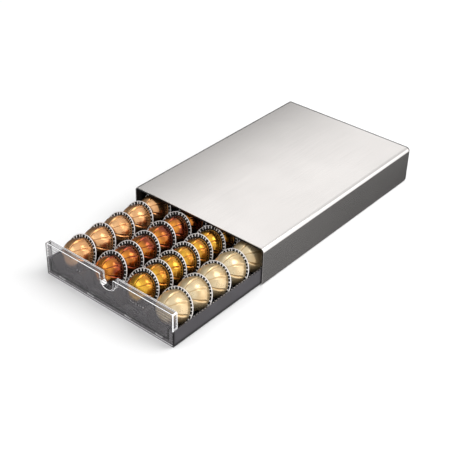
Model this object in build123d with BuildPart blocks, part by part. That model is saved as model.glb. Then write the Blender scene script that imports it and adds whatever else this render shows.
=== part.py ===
from build123d import *
from math import atan2, cos, degrees, pi, radians, sin, tan
import os

# Coffee pod drawer: a steel-wrapped housing with a tray that slides out of its front.
# Frame: X to the right, Y to the rear, Z up, millimetres. The origin is the middle of
# the housing's flat underside, and the tray stands partly open, as it is used.

# ---------------------------------------------------------------- pods and their seats
flange_radius = 30.0          # a pod's rim
flange_thickness = 1.6
pod_sides = 12                # facets round a pod
pod_tilt = 26.0               # a pod leans back this far from upright, degrees
seat_gap = 0.1                # rim above the rack's floor
column_count = 4
column_gap = 3.7              # between the rims of neighbouring columns
first_pod = 40.5              # front of the panel to the first rims' centres
last_pod = 26.7               # longest column's last rim to the back of the tray
slot_count = 63               # in the rack
front_slot_count = 2          # slots in front of the first pods
rib_wall = 2.6                # thickness of a rack rib, square to its face
rack_floor = 0.6
rib_top = 26.4                # height of the ribs above the table
cradle_floor_half = 14.0      # half the flat bottom of a cradle
cradle_top_half = 27.5        # half its width at the rib tops
cradle_depth_gap = 0.55       # widest dome to the cradle's floor

# One entry for each column, from left to right
pod_finishes = ["copper", "amber", "gold", "cream"]
dome_radii = [24.0, 21.5, 21.5, 25.0]
dome_heights = [29.0, 24.0, 21.0, 30.0]
tooth_counts = [7, 6, 5, 7]   # teeth from one pod to the next
pod_counts = [9, 10, 12, 9]
# The dome's outline: share of its radius, share of its height
dome_rings = [(1.0, 0.0), (0.90, 0.60), (0.42, 1.0)]

# ---------------------------------------------------------------- drawer
drawer_length = 392.0         # front of the panel to the back of the tray
tray_wall = 1.2
tray_end_wall = 1.6
tray_floor = 1.2
tray_side_top = 28.5          # top of the tray's sides above the table
tray_lip_top = 7.5            # top of the low wall behind the clear panel
tray_lip_return = 5.0         # width of its ends, which rise to the sides' height
rim_side_gap = 0.65           # pod rim to the tray's side wall
rack_front_gap = 3.0          # room for the panel's hooks
rack_rear_gap = 0.4
rack_side_gap = 0.2
tray_corner = 3.0             # rear corners of the tray, seen from above
stop_tab_width = 22.0
stop_tab_thickness = 2.4
stop_tab_root = 1.4           # how far a tab reaches down the rear wall
stop_tab_overlap = 1.6        # height that a tab shares with its stop
stop_tab_roof_gap = 0.7       # top of a tab to the housing's roof

panel_side_inset = 0.4        # the panel's end lies this far inside the tray's side
panel_bottom = 0.7
panel_top = 58.0
panel_face = 2.8              # thickness of the clear face
panel_edge = 1.6              # thickness where it covers the ends of the tray's sides
panel_side_gap = 0.1
panel_rim_wall = 2.4          # thickness of the rim round the face
panel_rim_depth = 9.2         # rim and ears, front to back
panel_ear_gap = 0.3           # ears above the tray's sides
panel_corner = 3.0
notch_radius = 14.5
notch_depth = 21.0
notch_lead_in = 3.0           # rounding where the notch meets the top edge
hook_width = 12.0
hook_thickness = 1.6
hook_height = 5.2             # middle of the hooks above the table
hook_reach = 2.3              # past the low wall's inner face
hook_barb = 0.7
hook_barb_length = 1.5
hook_slot_gap = 0.2
hook_places = [-98.0, -38.0, 38.0, 98.0]

glide_width = 5.0
glide_inset = 9.0             # tray's outer side to the middle of the strip
glide_start = 60.0            # from the front of the panel
glide_end_margin = 14.0
glide_sunk = 0.8              # into the tray's floor
glide_proud = 0.3             # below the tray's underside
glide_side_gap = 0.1

catch_width = 9.0             # rack's tongues and catches, through the tray's end walls
catch_height = 2.4
catch_reach = 0.9             # into the wall
catch_gap = 0.2
catch_rise = 0.8              # window above the tray's floor
catch_places = [-68.0, 0.0, 68.0]

# ---------------------------------------------------------------- housing
drawer_gap = 0.4              # tray side to liner
run_gap = 0.6                 # base plate to the tray's underside
head_room = 3.2               # over the pods
sleeve_wall = 1.0
sleeve_radius = 6.5
sleeve_lift = 1.2             # the sleeve's sides end this far above the table
liner_fit = 0.05              # sleeve to liner and to base plate
liner_side = 1.15
liner_roof = 2.6
liner_corner = 3.0            # inside
liner_setback = 0.3           # behind the sleeve's front edge
liner_foot_gap = 0.3          # liner's lower edge above the base plate's flanges
base_wall = 1.0
base_flange_height = 14.0
base_setback = 21.0           # base plate's front edge behind the housing's front
rear_wall = 3.0
rear_corner = 4.0             # lower corners of the rear panel
rear_edge = 0.8               # chamfer round the rear panel
buffer_space = 9.0            # behind the closed drawer

rail_rise = 0.5               # rail above the tray's side
rail_height = 2.4
rail_front_gap = 2.6          # rail's front end behind the closed panel's ears
rail_rim_gap = 0.35           # rail to pod rims
rail_tongue_depth = 0.6
rail_tongue_height = 1.2

foot_radius = 8.0
foot_flange = 2.0             # collar beyond the hole in the plate
foot_collar = 0.3
foot_gap = 0.1
foot_side_inset = 26.0        # housing's side to a foot's middle
foot_front_inset = 42.0       # from the housing's front
foot_rear_inset = 24.0        # from the housing's rear

rear_screw_radius = 1.45
rear_screw_gap = 0.1
rear_screw_head = 3.2
rear_screw_head_depth = 1.7
rear_screw_length = 7.5
rear_boss_width = 10.0
rear_boss_height = 8.0
rear_boss_length = 7.0
rear_boss_low = 24.0          # middle of the lower bosses above the table
rear_boss_high = 52.0         # middle of the upper bosses above the table

bumper_radius = 5.0
bumper_stem_radius = 2.0
bumper_stem_length = 2.4
bumper_stem_gap = 0.1
bumper_gap = 0.3              # closed drawer to bumper
bumper_height = 15.0          # above the table
bumper_spread = 90.0          # from the middle to each bumper

stop_width = 24.0
stop_length = 12.0
stop_peg_radius = 2.0
stop_peg_gap = 0.1
stop_gap = 0.3                # tab to stop at the end of the travel
rest_opening = 192.0          # how far the drawer stands open
kept_inside = 42.0            # tray left in the housing where the tabs meet the stops

cut_over = 1.0                # how far a cutting shape runs past what it cuts

# ---------------------------------------------------------------- derived places
tilt = radians(pod_tilt)
full_opening = drawer_length - kept_inside
column_teeth = [teeth * (pods - 1) for teeth, pods in zip(tooth_counts, pod_counts)]
tooth_pitch = (drawer_length - first_pod - last_pod) / max(column_teeth)
column_pitch = 2 * flange_radius + column_gap
column_x = [(i - (column_count - 1) / 2) * column_pitch for i in range(column_count)]
tray_inner_half = column_x[-1] + flange_radius + rim_side_gap
tray_half = tray_inner_half + tray_wall
liner_inner_half = tray_half + drawer_gap
liner_half = liner_inner_half + liner_side
sleeve_inner_half = liner_half + liner_fit
housing_half = sleeve_inner_half + sleeve_wall
housing_depth = drawer_length + buffer_space + rear_wall
housing_front = -housing_depth / 2
housing_rear = housing_depth / 2
rear_face = housing_rear - rear_wall

tray_bottom = base_wall + run_gap
floor_top = tray_bottom + tray_floor
seat_height = floor_top + rack_floor
rim_rise = flange_radius * cos(tilt) + flange_thickness / 2 * sin(tilt)
pod_centre_z = seat_height + seat_gap + rim_rise
pod_top = pod_centre_z + rim_rise
roof_underside = pod_top + head_room
liner_top = roof_underside + liner_roof
sleeve_inner_top = liner_top + liner_fit
housing_height = sleeve_inner_top + sleeve_wall

drawer_front = housing_front - rest_opening
drawer_rear = drawer_front + drawer_length
tray_side_front = drawer_front + panel_edge
tray_lip_front = drawer_front + panel_face
tray_inner_front = tray_lip_front + tray_end_wall
tray_inner_rear = drawer_rear - tray_end_wall
panel_half = tray_half - panel_side_inset
ear_bottom = tray_side_top + panel_ear_gap

rack_half = tray_inner_half - rack_side_gap
rack_front = tray_inner_front + rack_front_gap
rack_rear = tray_inner_rear - rack_rear_gap
slot_length = (tooth_pitch * cos(tilt) - rib_wall) / cos(tilt)
cradle_floor_z = pod_centre_z - max(dome_radii) * cos(tilt) - cradle_depth_gap
first_pod_y = drawer_front + first_pod

catch_bottom = floor_top + catch_rise
catch_limits = [(x - catch_width / 2, x + catch_width / 2) for x in catch_places]
glide_x = tray_half - glide_inset
glide_front = drawer_front + glide_start
glide_rear = drawer_rear - glide_end_margin

rear_screw_places = [
    (side * (liner_inner_half - rear_boss_width / 2), z)
    for side in (-1, 1)
    for z in (rear_boss_low, rear_boss_high)
]
foot_places = [
    (side * (housing_half - foot_side_inset), y)
    for side in (-1, 1)
    for y in (housing_front + foot_front_inset, housing_rear - foot_rear_inset)
]
rail_bottom = tray_side_top + rail_rise
rail_inner_half = column_x[-1] + flange_radius + rail_rim_gap
rail_front = housing_front + panel_rim_depth + rail_front_gap
stop_tab_top = roof_underside - stop_tab_roof_gap
stop_bottom = stop_tab_top - stop_tab_overlap
stop_tab_front = drawer_rear - stop_tab_thickness
stop_rear = stop_tab_front - (full_opening - rest_opening) - stop_gap
stop_places = [(side * column_pitch, stop_rear - stop_length / 2) for side in (-1, 1)]
bumper_places = [(side * bumper_spread, bumper_height) for side in (-1, 1)]
bumper_length = buffer_space - bumper_gap

on_floor = (Align.CENTER, Align.CENTER, Align.MIN)

os.makedirs("parts", exist_ok=True)


def save(piece, name):
    """Name a finished piece and write it."""
    piece.label = name
    export_step(piece, f"parts/{name}.step")


def across(y):
    """A plane across the drawer at y that faces the rear: X right, Z up."""
    return Plane(origin=(0, y, 0), x_dir=(-1, 0, 0), z_dir=(0, 1, 0))


def arch(half_width, foot, top, radius, mode=Mode.ADD):
    """Draw an upright outline with rounded upper corners into the sketch in hand."""
    with BuildLine() as outline:
        Polyline(
            (-half_width, top - radius),
            (-half_width, foot),
            (half_width, foot),
            (half_width, top - radius),
        )
        RadiusArc((half_width, top - radius), (half_width - radius, top), -radius)
        Line((half_width - radius, top), (radius - half_width, top))
        RadiusArc((radius - half_width, top), (-half_width, top - radius), -radius)
    make_face(outline.edges(), mode=mode)


def block(x_from, x_to, y_from, y_to, z_from, z_to, mode=Mode.ADD):
    """Add or cut a box given by its limits."""
    with Locations(((x_from + x_to) / 2, (y_from + y_to) / 2, (z_from + z_to) / 2)):
        Box(x_to - x_from, y_to - y_from, z_to - z_from, mode=mode)


# ================================================================ housing
# Outer sleeve: one folded sheet over the top and both sides, open below.
with BuildPart() as outer_sleeve:
    with BuildSketch(across(housing_front)):
        arch(housing_half, sleeve_lift, housing_height, sleeve_radius)
        arch(
            sleeve_inner_half,
            sleeve_lift - cut_over,
            sleeve_inner_top,
            sleeve_radius - sleeve_wall,
            mode=Mode.SUBTRACT,
        )
    extrude(amount=rear_face - housing_front)
save(outer_sleeve.part, "outer_sleeve")

# Inner liner: the moulded arch behind the sleeve, with screw bosses at its rear,
# grooves for the rails and holes for the pegs of the travel stops.
with BuildPart() as inner_liner:
    liner_foot = base_flange_height + liner_foot_gap
    with BuildSketch(across(housing_front + liner_setback)):
        arch(liner_half, liner_foot, liner_top, sleeve_radius - sleeve_wall - liner_fit)
        arch(
            liner_inner_half,
            liner_foot - cut_over,
            roof_underside,
            liner_corner,
            mode=Mode.SUBTRACT,
        )
    extrude(amount=rear_face - housing_front - liner_setback)
    for side in (-1, 1):
        groove_wall = side * (liner_inner_half + rail_tongue_depth)
        groove_open = side * (liner_inner_half - cut_over)
        block(
            min(groove_wall, groove_open),
            max(groove_wall, groove_open),
            rail_front,
            rear_face,
            rail_bottom + (rail_height - rail_tongue_height) / 2 - liner_fit,
            rail_bottom + (rail_height + rail_tongue_height) / 2 + liner_fit,
            mode=Mode.SUBTRACT,
        )
    with BuildSketch(across(rear_face - rear_boss_length)):
        with Locations(*rear_screw_places):
            Rectangle(rear_boss_width + liner_fit, rear_boss_height)
    extrude(amount=rear_boss_length)
    with BuildSketch(across(rear_face - rear_boss_length)):
        with Locations(*rear_screw_places):
            Circle(rear_screw_radius + rear_screw_gap)
    extrude(amount=rear_boss_length, mode=Mode.SUBTRACT)
    with BuildSketch(Plane.XY.offset(roof_underside)):
        with Locations(*stop_places):
            Circle(stop_peg_radius + stop_peg_gap)
    extrude(amount=liner_roof, mode=Mode.SUBTRACT)
save(inner_liner.part, "inner_liner")

# Base plate: a shallow folded pan that the drawer runs on, with holes for the feet.
with BuildPart() as base_plate:
    plate_half = sleeve_inner_half - liner_fit
    plate_front = housing_front + base_setback
    block(-plate_half, plate_half, plate_front, rear_face, 0, base_flange_height)
    block(
        base_wall - plate_half,
        plate_half - base_wall,
        plate_front,
        rear_face,
        base_wall,
        base_flange_height,
        mode=Mode.SUBTRACT,
    )
    with BuildSketch():
        with Locations(*foot_places):
            Circle(foot_radius + foot_gap)
    extrude(amount=base_wall, mode=Mode.SUBTRACT)
save(base_plate.part, "base_plate")

# Feet: rubber buttons that fill the holes and lie flush with the plate's underside.
with BuildPart() as feet:
    with Locations(*foot_places):
        Cylinder(foot_radius, base_wall, align=on_floor)
    with BuildSketch(Plane.XY.offset(base_wall)):
        with Locations(*foot_places):
            Circle(foot_radius + foot_flange)
    extrude(amount=foot_collar)
save(feet.part, "feet")

# Rear panel: closes the housing and carries the bumpers.
with BuildPart() as rear_panel:
    with BuildSketch(across(rear_face)):
        arch(housing_half, 0, housing_height, sleeve_radius)
    extrude(amount=rear_wall)
    fillet(rear_panel.edges().filter_by(Axis.Y).group_by(Axis.Z)[0], rear_corner)
    chamfer(rear_panel.faces().sort_by(Axis.Y)[-1].outer_wire().edges(), rear_edge)
    with BuildSketch(across(rear_face)):
        with Locations(*rear_screw_places):
            Circle(rear_screw_radius + rear_screw_gap)
        with Locations(*bumper_places):
            Circle(bumper_stem_radius + bumper_stem_gap)
    extrude(amount=rear_wall, mode=Mode.SUBTRACT)
    with BuildSketch(across(housing_rear - rear_screw_head_depth)):
        with Locations(*rear_screw_places):
            Circle(rear_screw_head + rear_screw_gap)
    extrude(amount=rear_screw_head_depth, mode=Mode.SUBTRACT)
save(rear_panel.part, "rear_panel")

# Housing screws: sunk pan heads that pull the rear panel onto the liner.
with BuildPart() as housing_screws:
    screw_seat = housing_rear - rear_screw_head_depth
    with BuildSketch(across(screw_seat - rear_screw_length)):
        with Locations(*rear_screw_places):
            Circle(rear_screw_radius)
    extrude(amount=rear_screw_length)
    with BuildSketch(across(screw_seat)):
        with Locations(*rear_screw_places):
            Circle(rear_screw_head)
    extrude(amount=rear_screw_head_depth - rear_screw_gap)
    with BuildSketch(across(housing_rear - rear_screw_gap)):
        with Locations(*rear_screw_places):
            Rectangle(rear_screw_head * 1.2, rear_screw_head * 0.25)
            Rectangle(rear_screw_head * 0.25, rear_screw_head * 1.2)
    extrude(amount=-rear_screw_head_depth / 2, mode=Mode.SUBTRACT)
save(housing_screws.part, "housing_screws")

# Rear bumpers: rubber studs that catch the closing drawer.
with BuildPart() as rear_bumpers:
    with BuildSketch(across(rear_face - bumper_length)):
        with Locations(*bumper_places):
            Circle(bumper_radius)
    extrude(amount=bumper_length)
    with BuildSketch(across(rear_face)):
        with Locations(*bumper_places):
            Circle(bumper_stem_radius)
    extrude(amount=bumper_stem_length)
save(rear_bumpers.part, "rear_bumpers")

# Travel stops: blocks under the roof that the tray's rear tabs run against.
with BuildPart() as travel_stops:
    with BuildSketch(Plane.XY.offset(stop_bottom)):
        with Locations(*stop_places):
            Rectangle(stop_width, stop_length)
    extrude(amount=roof_underside - stop_bottom)
    with BuildSketch(Plane.XY.offset(roof_underside)):
        with Locations(*stop_places):
            Circle(stop_peg_radius)
    extrude(amount=liner_roof)
save(travel_stops.part, "travel_stops")

# Hold-down rails: one on each side, just over the tray's walls, so that the open
# drawer can't tip. Each has a tongue in the liner's groove.
for rail_name, side in (("left_rail", -1), ("right_rail", 1)):
    with BuildPart() as rail:
        rail_limits = sorted((side * rail_inner_half, side * liner_inner_half))
        block(
            rail_limits[0],
            rail_limits[1],
            rail_front,
            rear_face - rear_boss_length,
            rail_bottom,
            rail_bottom + rail_height,
        )
        tongue_edge = liner_inner_half + rail_tongue_depth - liner_fit
        tongue_limits = sorted((side * liner_inner_half, side * tongue_edge))
        block(
            tongue_limits[0],
            tongue_limits[1],
            rail_front + liner_fit,
            rear_face - rear_boss_length,
            rail_bottom + (rail_height - rail_tongue_height) / 2,
            rail_bottom + (rail_height + rail_tongue_height) / 2,
        )
    save(rail.part, rail_name)

# ================================================================ drawer
# Tray: floor, two sides, rear wall with two tabs, and a low wall behind the panel. The
# end walls have windows for the rack's catches, and the low wall slots for the hooks.
with BuildPart() as drawer_tray:
    with BuildSketch(Plane.XY.offset(tray_bottom)) as tray_plan:
        with Locations((0, (tray_side_front + drawer_rear) / 2)):
            Rectangle(2 * tray_half, drawer_rear - tray_side_front)
        fillet(tray_plan.vertices().group_by(Axis.Y)[-1], tray_corner)
    extrude(amount=tray_side_top - tray_bottom)
    with BuildSketch(Plane.XY.offset(floor_top)) as tray_hollow:
        with Locations((0, (tray_inner_front + tray_inner_rear) / 2)):
            Rectangle(2 * tray_inner_half, tray_inner_rear - tray_inner_front)
        fillet(tray_hollow.vertices().group_by(Axis.Y)[-1], tray_corner - tray_wall)
    extrude(amount=tray_side_top - floor_top, mode=Mode.SUBTRACT)
    block(
        -tray_inner_half,
        tray_inner_half,
        tray_side_front - cut_over,
        tray_lip_front,
        tray_bottom - cut_over,
        tray_side_top + cut_over,
        mode=Mode.SUBTRACT,
    )
    block(
        tray_lip_return - tray_inner_half,
        tray_inner_half - tray_lip_return,
        tray_side_front - cut_over,
        tray_inner_front + cut_over,
        tray_lip_top,
        tray_side_top + cut_over,
        mode=Mode.SUBTRACT,
    )
    for side in (-1, 1):
        block(
            side * column_pitch - stop_tab_width / 2,
            side * column_pitch + stop_tab_width / 2,
            stop_tab_front,
            drawer_rear,
            tray_side_top - stop_tab_root,
            stop_tab_top,
        )
        block(
            side * glide_x - glide_width / 2 - glide_side_gap,
            side * glide_x + glide_width / 2 + glide_side_gap,
            glide_front - glide_side_gap,
            glide_rear + glide_side_gap,
            tray_bottom - cut_over,
            tray_bottom + glide_sunk,
            mode=Mode.SUBTRACT,
        )
    for x in hook_places:
        block(
            x - hook_width / 2 - hook_slot_gap,
            x + hook_width / 2 + hook_slot_gap,
            tray_lip_front - cut_over,
            tray_inner_front + cut_over,
            hook_height - hook_thickness / 2 - hook_slot_gap,
            hook_height + hook_thickness / 2 + hook_slot_gap,
            mode=Mode.SUBTRACT,
        )
    for left, right in catch_limits:
        for wall_front, wall_rear in (
            (tray_lip_front, tray_inner_front),
            (tray_inner_rear, drawer_rear),
        ):
            block(
                left - catch_gap,
                right + catch_gap,
                wall_front - cut_over,
                wall_rear + cut_over,
                catch_bottom - catch_gap,
                catch_bottom + catch_height + catch_gap,
                mode=Mode.SUBTRACT,
            )
save(drawer_tray.part, "drawer_tray")

# Pod rack: the moulded insert that holds the pods. Leaning ribs at one pitch cross the
# tray, so a rim can stand in any slot between them, and a cradle is cut through the
# ribs under each column to clear the domes. Tongues at the front and catches at the
# rear hold it in windows of the tray's end walls.
with BuildPart() as pod_rack:
    with BuildSketch(Plane.XY.offset(floor_top)) as rack_plan:
        with Locations((0, (rack_front + rack_rear) / 2)):
            Rectangle(2 * rack_half, rack_rear - rack_front)
        fillet(rack_plan.vertices().group_by(Axis.Y)[-1], tray_corner - tray_wall)
    extrude(amount=rib_top - floor_top)
    rise = rib_top + cut_over - seat_height
    lean = rise * tan(tilt)
    slot_outline = [
        (-slot_length / 2, 0),
        (slot_length / 2, 0),
        (slot_length / 2 + lean, rise),
        (lean - slot_length / 2, rise),
    ]
    first_slot = first_pod_y - (pod_centre_z - seat_height) * tan(tilt)
    slot_places = [
        (first_slot + (k - front_slot_count) * tooth_pitch, seat_height)
        for k in range(slot_count)
    ]
    with BuildSketch(Plane.YZ.offset(-rack_half)):
        with Locations(*slot_places):
            Polygon(*slot_outline, align=None)
    extrude(amount=2 * rack_half, mode=Mode.SUBTRACT)
    with BuildSketch(across(rack_front)):
        with Locations(*[(x, 0) for x in column_x]):
            Polygon(
                (-cradle_floor_half, cradle_floor_z),
                (cradle_floor_half, cradle_floor_z),
                (cradle_top_half, rib_top),
                (cradle_top_half, rib_top + cut_over),
                (-cradle_top_half, rib_top + cut_over),
                (-cradle_top_half, rib_top),
                align=None,
            )
    extrude(amount=rack_rear - rack_front, mode=Mode.SUBTRACT)
    catch_top = catch_bottom + catch_height
    for left, right in catch_limits:
        block(left, right, tray_inner_front - catch_reach, rack_front, catch_bottom, catch_top)
        block(left, right, rack_rear, tray_inner_rear + catch_reach, catch_bottom, catch_top)
save(pod_rack.part, "pod_rack")

# Front panel: clear moulding with a finger notch. Its rim turns back along the top
# and down to the tray's sides as ears, and hooks snap through the low wall.
with BuildPart() as front_panel:
    with BuildSketch(across(drawer_front)) as panel_outline:
        with Locations((0, (panel_bottom + panel_top) / 2)):
            Rectangle(2 * panel_half, panel_top - panel_bottom)
        with Locations((0, panel_top)):
            Rectangle(2 * notch_radius, 2 * (notch_depth - notch_radius), mode=Mode.SUBTRACT)
        with Locations((0, panel_top - notch_depth + notch_radius)):
            Circle(notch_radius, mode=Mode.SUBTRACT)
        top_corners = panel_outline.vertices().group_by(Axis.Y)[-1].sort_by(Axis.X)
        fillet(top_corners[1:-1], notch_lead_in)
        fillet(panel_outline.vertices().sort_by(Axis.X)[0:2].sort_by(Axis.Y)[-1], panel_corner)
        fillet(panel_outline.vertices().sort_by(Axis.X)[-2:].sort_by(Axis.Y)[-1], panel_corner)
    extrude(amount=panel_face)
    with BuildSketch(across(drawer_front + panel_face)):
        add(panel_outline.sketch_local)
        offset(amount=-panel_rim_wall, mode=Mode.SUBTRACT)
        with Locations((0, (panel_bottom + ear_bottom) / 2)):
            Rectangle(
                2 * (panel_half + cut_over),
                ear_bottom - panel_bottom + cut_over / 2,
                mode=Mode.SUBTRACT,
            )
    extrude(amount=panel_rim_depth - panel_face)
    edge_half = tray_inner_half - panel_side_gap
    for side in (-1, 1):
        rebate = sorted((side * edge_half, side * (panel_half + cut_over)))
        block(
            rebate[0],
            rebate[1],
            drawer_front + panel_edge,
            drawer_front + panel_face,
            panel_bottom - cut_over,
            ear_bottom,
            mode=Mode.SUBTRACT,
        )
    hook_end = tray_inner_front + hook_reach
    for x in hook_places:
        block(
            x - hook_width / 2,
            x + hook_width / 2,
            drawer_front + panel_face,
            hook_end,
            hook_height - hook_thickness / 2,
            hook_height + hook_thickness / 2,
        )
        block(
            x - hook_width / 2,
            x + hook_width / 2,
            hook_end - hook_barb_length,
            hook_end,
            hook_height,
            hook_height + hook_thickness / 2 + hook_barb,
        )
save(front_panel.part, "front_panel")

# Glides: low-friction strips sunk into the tray's floor, which run on the base plate.
for glide_name, side in (("left_glide", -1), ("right_glide", 1)):
    with BuildPart() as glide:
        block(
            side * glide_x - glide_width / 2,
            side * glide_x + glide_width / 2,
            glide_front,
            glide_rear,
            tray_bottom - glide_proud,
            tray_bottom + glide_sunk,
        )
    save(glide.part, glide_name)

# ================================================================ pods
# Each pod leans back in its slot with its dome towards the front of the drawer.
for x, finish, dome_radius, dome_height, teeth, pods in zip(
    column_x, pod_finishes, dome_radii, dome_heights, tooth_counts, pod_counts
):
    for number in range(pods):
        seat = Plane(
            origin=(x, first_pod_y + number * teeth * tooth_pitch, pod_centre_z),
            x_dir=(1, 0, 0),
            z_dir=Vector(0, -1, 0).rotate(Axis.X, -pod_tilt),
        )
        with BuildPart() as pod:
            with BuildSketch(seat.offset(-flange_thickness / 2)):
                RegularPolygon(flange_radius, pod_sides)
            extrude(amount=flange_thickness)
            for (share, height), (next_share, next_height) in zip(dome_rings, dome_rings[1:]):
                drawn_in = (share - next_share) * dome_radius * cos(pi / pod_sides)
                raised = (next_height - height) * dome_height
                with BuildSketch(seat.offset(flange_thickness / 2 + height * dome_height)):
                    RegularPolygon(share * dome_radius, pod_sides)
                extrude(amount=raised, taper=degrees(atan2(drawn_in, raised)))
        save(pod.part, f"{finish}_pod_{number + 1:02d}")
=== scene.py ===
"""Coffee pod drawer: the finished pieces and their surfaces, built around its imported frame."""

import logging
import math
import random
from collections.abc import Callable, Iterator
from contextlib import contextmanager
from dataclasses import dataclass
from enum import Enum, IntEnum

import bmesh
import bpy
from mathutils import Matrix, Vector


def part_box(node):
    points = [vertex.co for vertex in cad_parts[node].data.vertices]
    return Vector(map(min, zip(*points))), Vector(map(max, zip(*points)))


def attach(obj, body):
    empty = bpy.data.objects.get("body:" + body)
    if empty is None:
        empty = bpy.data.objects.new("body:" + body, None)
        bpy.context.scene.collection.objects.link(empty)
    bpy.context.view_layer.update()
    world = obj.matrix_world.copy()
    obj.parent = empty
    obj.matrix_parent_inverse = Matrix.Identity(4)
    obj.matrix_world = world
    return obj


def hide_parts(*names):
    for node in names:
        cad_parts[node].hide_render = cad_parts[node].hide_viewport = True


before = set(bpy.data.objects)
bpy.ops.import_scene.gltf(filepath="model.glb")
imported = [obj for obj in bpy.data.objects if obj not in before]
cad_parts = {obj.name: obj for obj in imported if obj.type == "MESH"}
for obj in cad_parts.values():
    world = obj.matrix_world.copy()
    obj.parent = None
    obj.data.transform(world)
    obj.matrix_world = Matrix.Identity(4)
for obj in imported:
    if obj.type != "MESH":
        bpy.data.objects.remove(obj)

LOG = logging.getLogger("pod_drawer")
MM = 0.001
# Cosines from which a face or an edge counts as lying along an axis or across it.
ALONG, ACROSS = 0.9, 0.1

Pair = tuple[float, float]
Triple = tuple[float, float, float]
Colour = Triple
Points = tuple[Pair, ...]
Test = Callable[[Vector, Vector], bool]


class Body(Enum):
    """The two rigid bodies that pieces ride on."""

    HOUSING = "housing"
    DRAWER = "drawer"


class Domain(Enum):
    """What a pick selects in edit mode."""

    POINTS = "VERT"
    EDGES = "EDGE"
    FACES = "FACE"


class RackCoat(IntEnum):
    """Material slots of the toothed rack."""

    GLOSS = 0
    # The tooth slot carries a painted highlight on the teeth's upper edges.
    TOOTH = 1


class PanelCoat(IntEnum):
    """Material slots of the clear front."""

    SHEET = 0
    # The edge slot carries a painted highlight and the shade slot a painted shade.
    EDGE = 1
    SHADE = 2


class PodCoat(IntEnum):
    """Material slots of a pod."""

    LACQUER = 0
    BLACK = 1
    PALE = 2
    RIM = 3
    LID = 4


# ---------------------------------------------------------------- shader boards
class Signal:
    """A number socket that can be used in Python arithmetic."""

    def __init__(self, board: "Board", socket: bpy.types.NodeSocket) -> None:
        """Hold one output socket of a board.

        Args:
            board: the board that owns the socket.
            socket: an output socket that carries a number.
        """
        self.board = board
        self.socket = socket

    def __add__(self, other: "Signal | float") -> "Signal":
        """Sum of two numbers."""
        return self.board.maths("ADD", self, other)

    __radd__ = __add__

    def __mul__(self, other: "Signal | float") -> "Signal":
        """Product of two numbers."""
        return self.board.maths("MULTIPLY", self, other)

    __rmul__ = __mul__

    def __sub__(self, other: "Signal | float") -> "Signal":
        """Difference of two numbers."""
        return self.board.maths("SUBTRACT", self, other)

    def __rsub__(self, other: "Signal | float") -> "Signal":
        """Difference with this number second."""
        return self.board.maths("SUBTRACT", other, self)

    def __pow__(self, other: "Signal | float") -> "Signal":
        """Power of a number."""
        return self.board.maths("POWER", self, other)

    def __abs__(self) -> "Signal":
        """Size of a number without its sign."""
        return self.board.maths("ABSOLUTE", self, 0.0)

    def sine(self) -> "Signal":
        """Sine of a number in radians."""
        return self.board.maths("SINE", self, 0.0)

    def over(self, low: float, high: float) -> "Signal":
        """Smooth step from 0 at low to 1 at high.

        Args:
            low: where the step starts.
            high: where the step ends.

        Returns:
            A number from 0 to 1.
        """
        span = self.board.node(
            "ShaderNodeMapRange",
            {"interpolation_type": "SMOOTHSTEP"},
            {"Value": self, "From Min": low, "From Max": high},
        )
        return Signal(self.board, span.outputs["Result"])


Fed = Signal | bpy.types.NodeSocket | float | Triple


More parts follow.
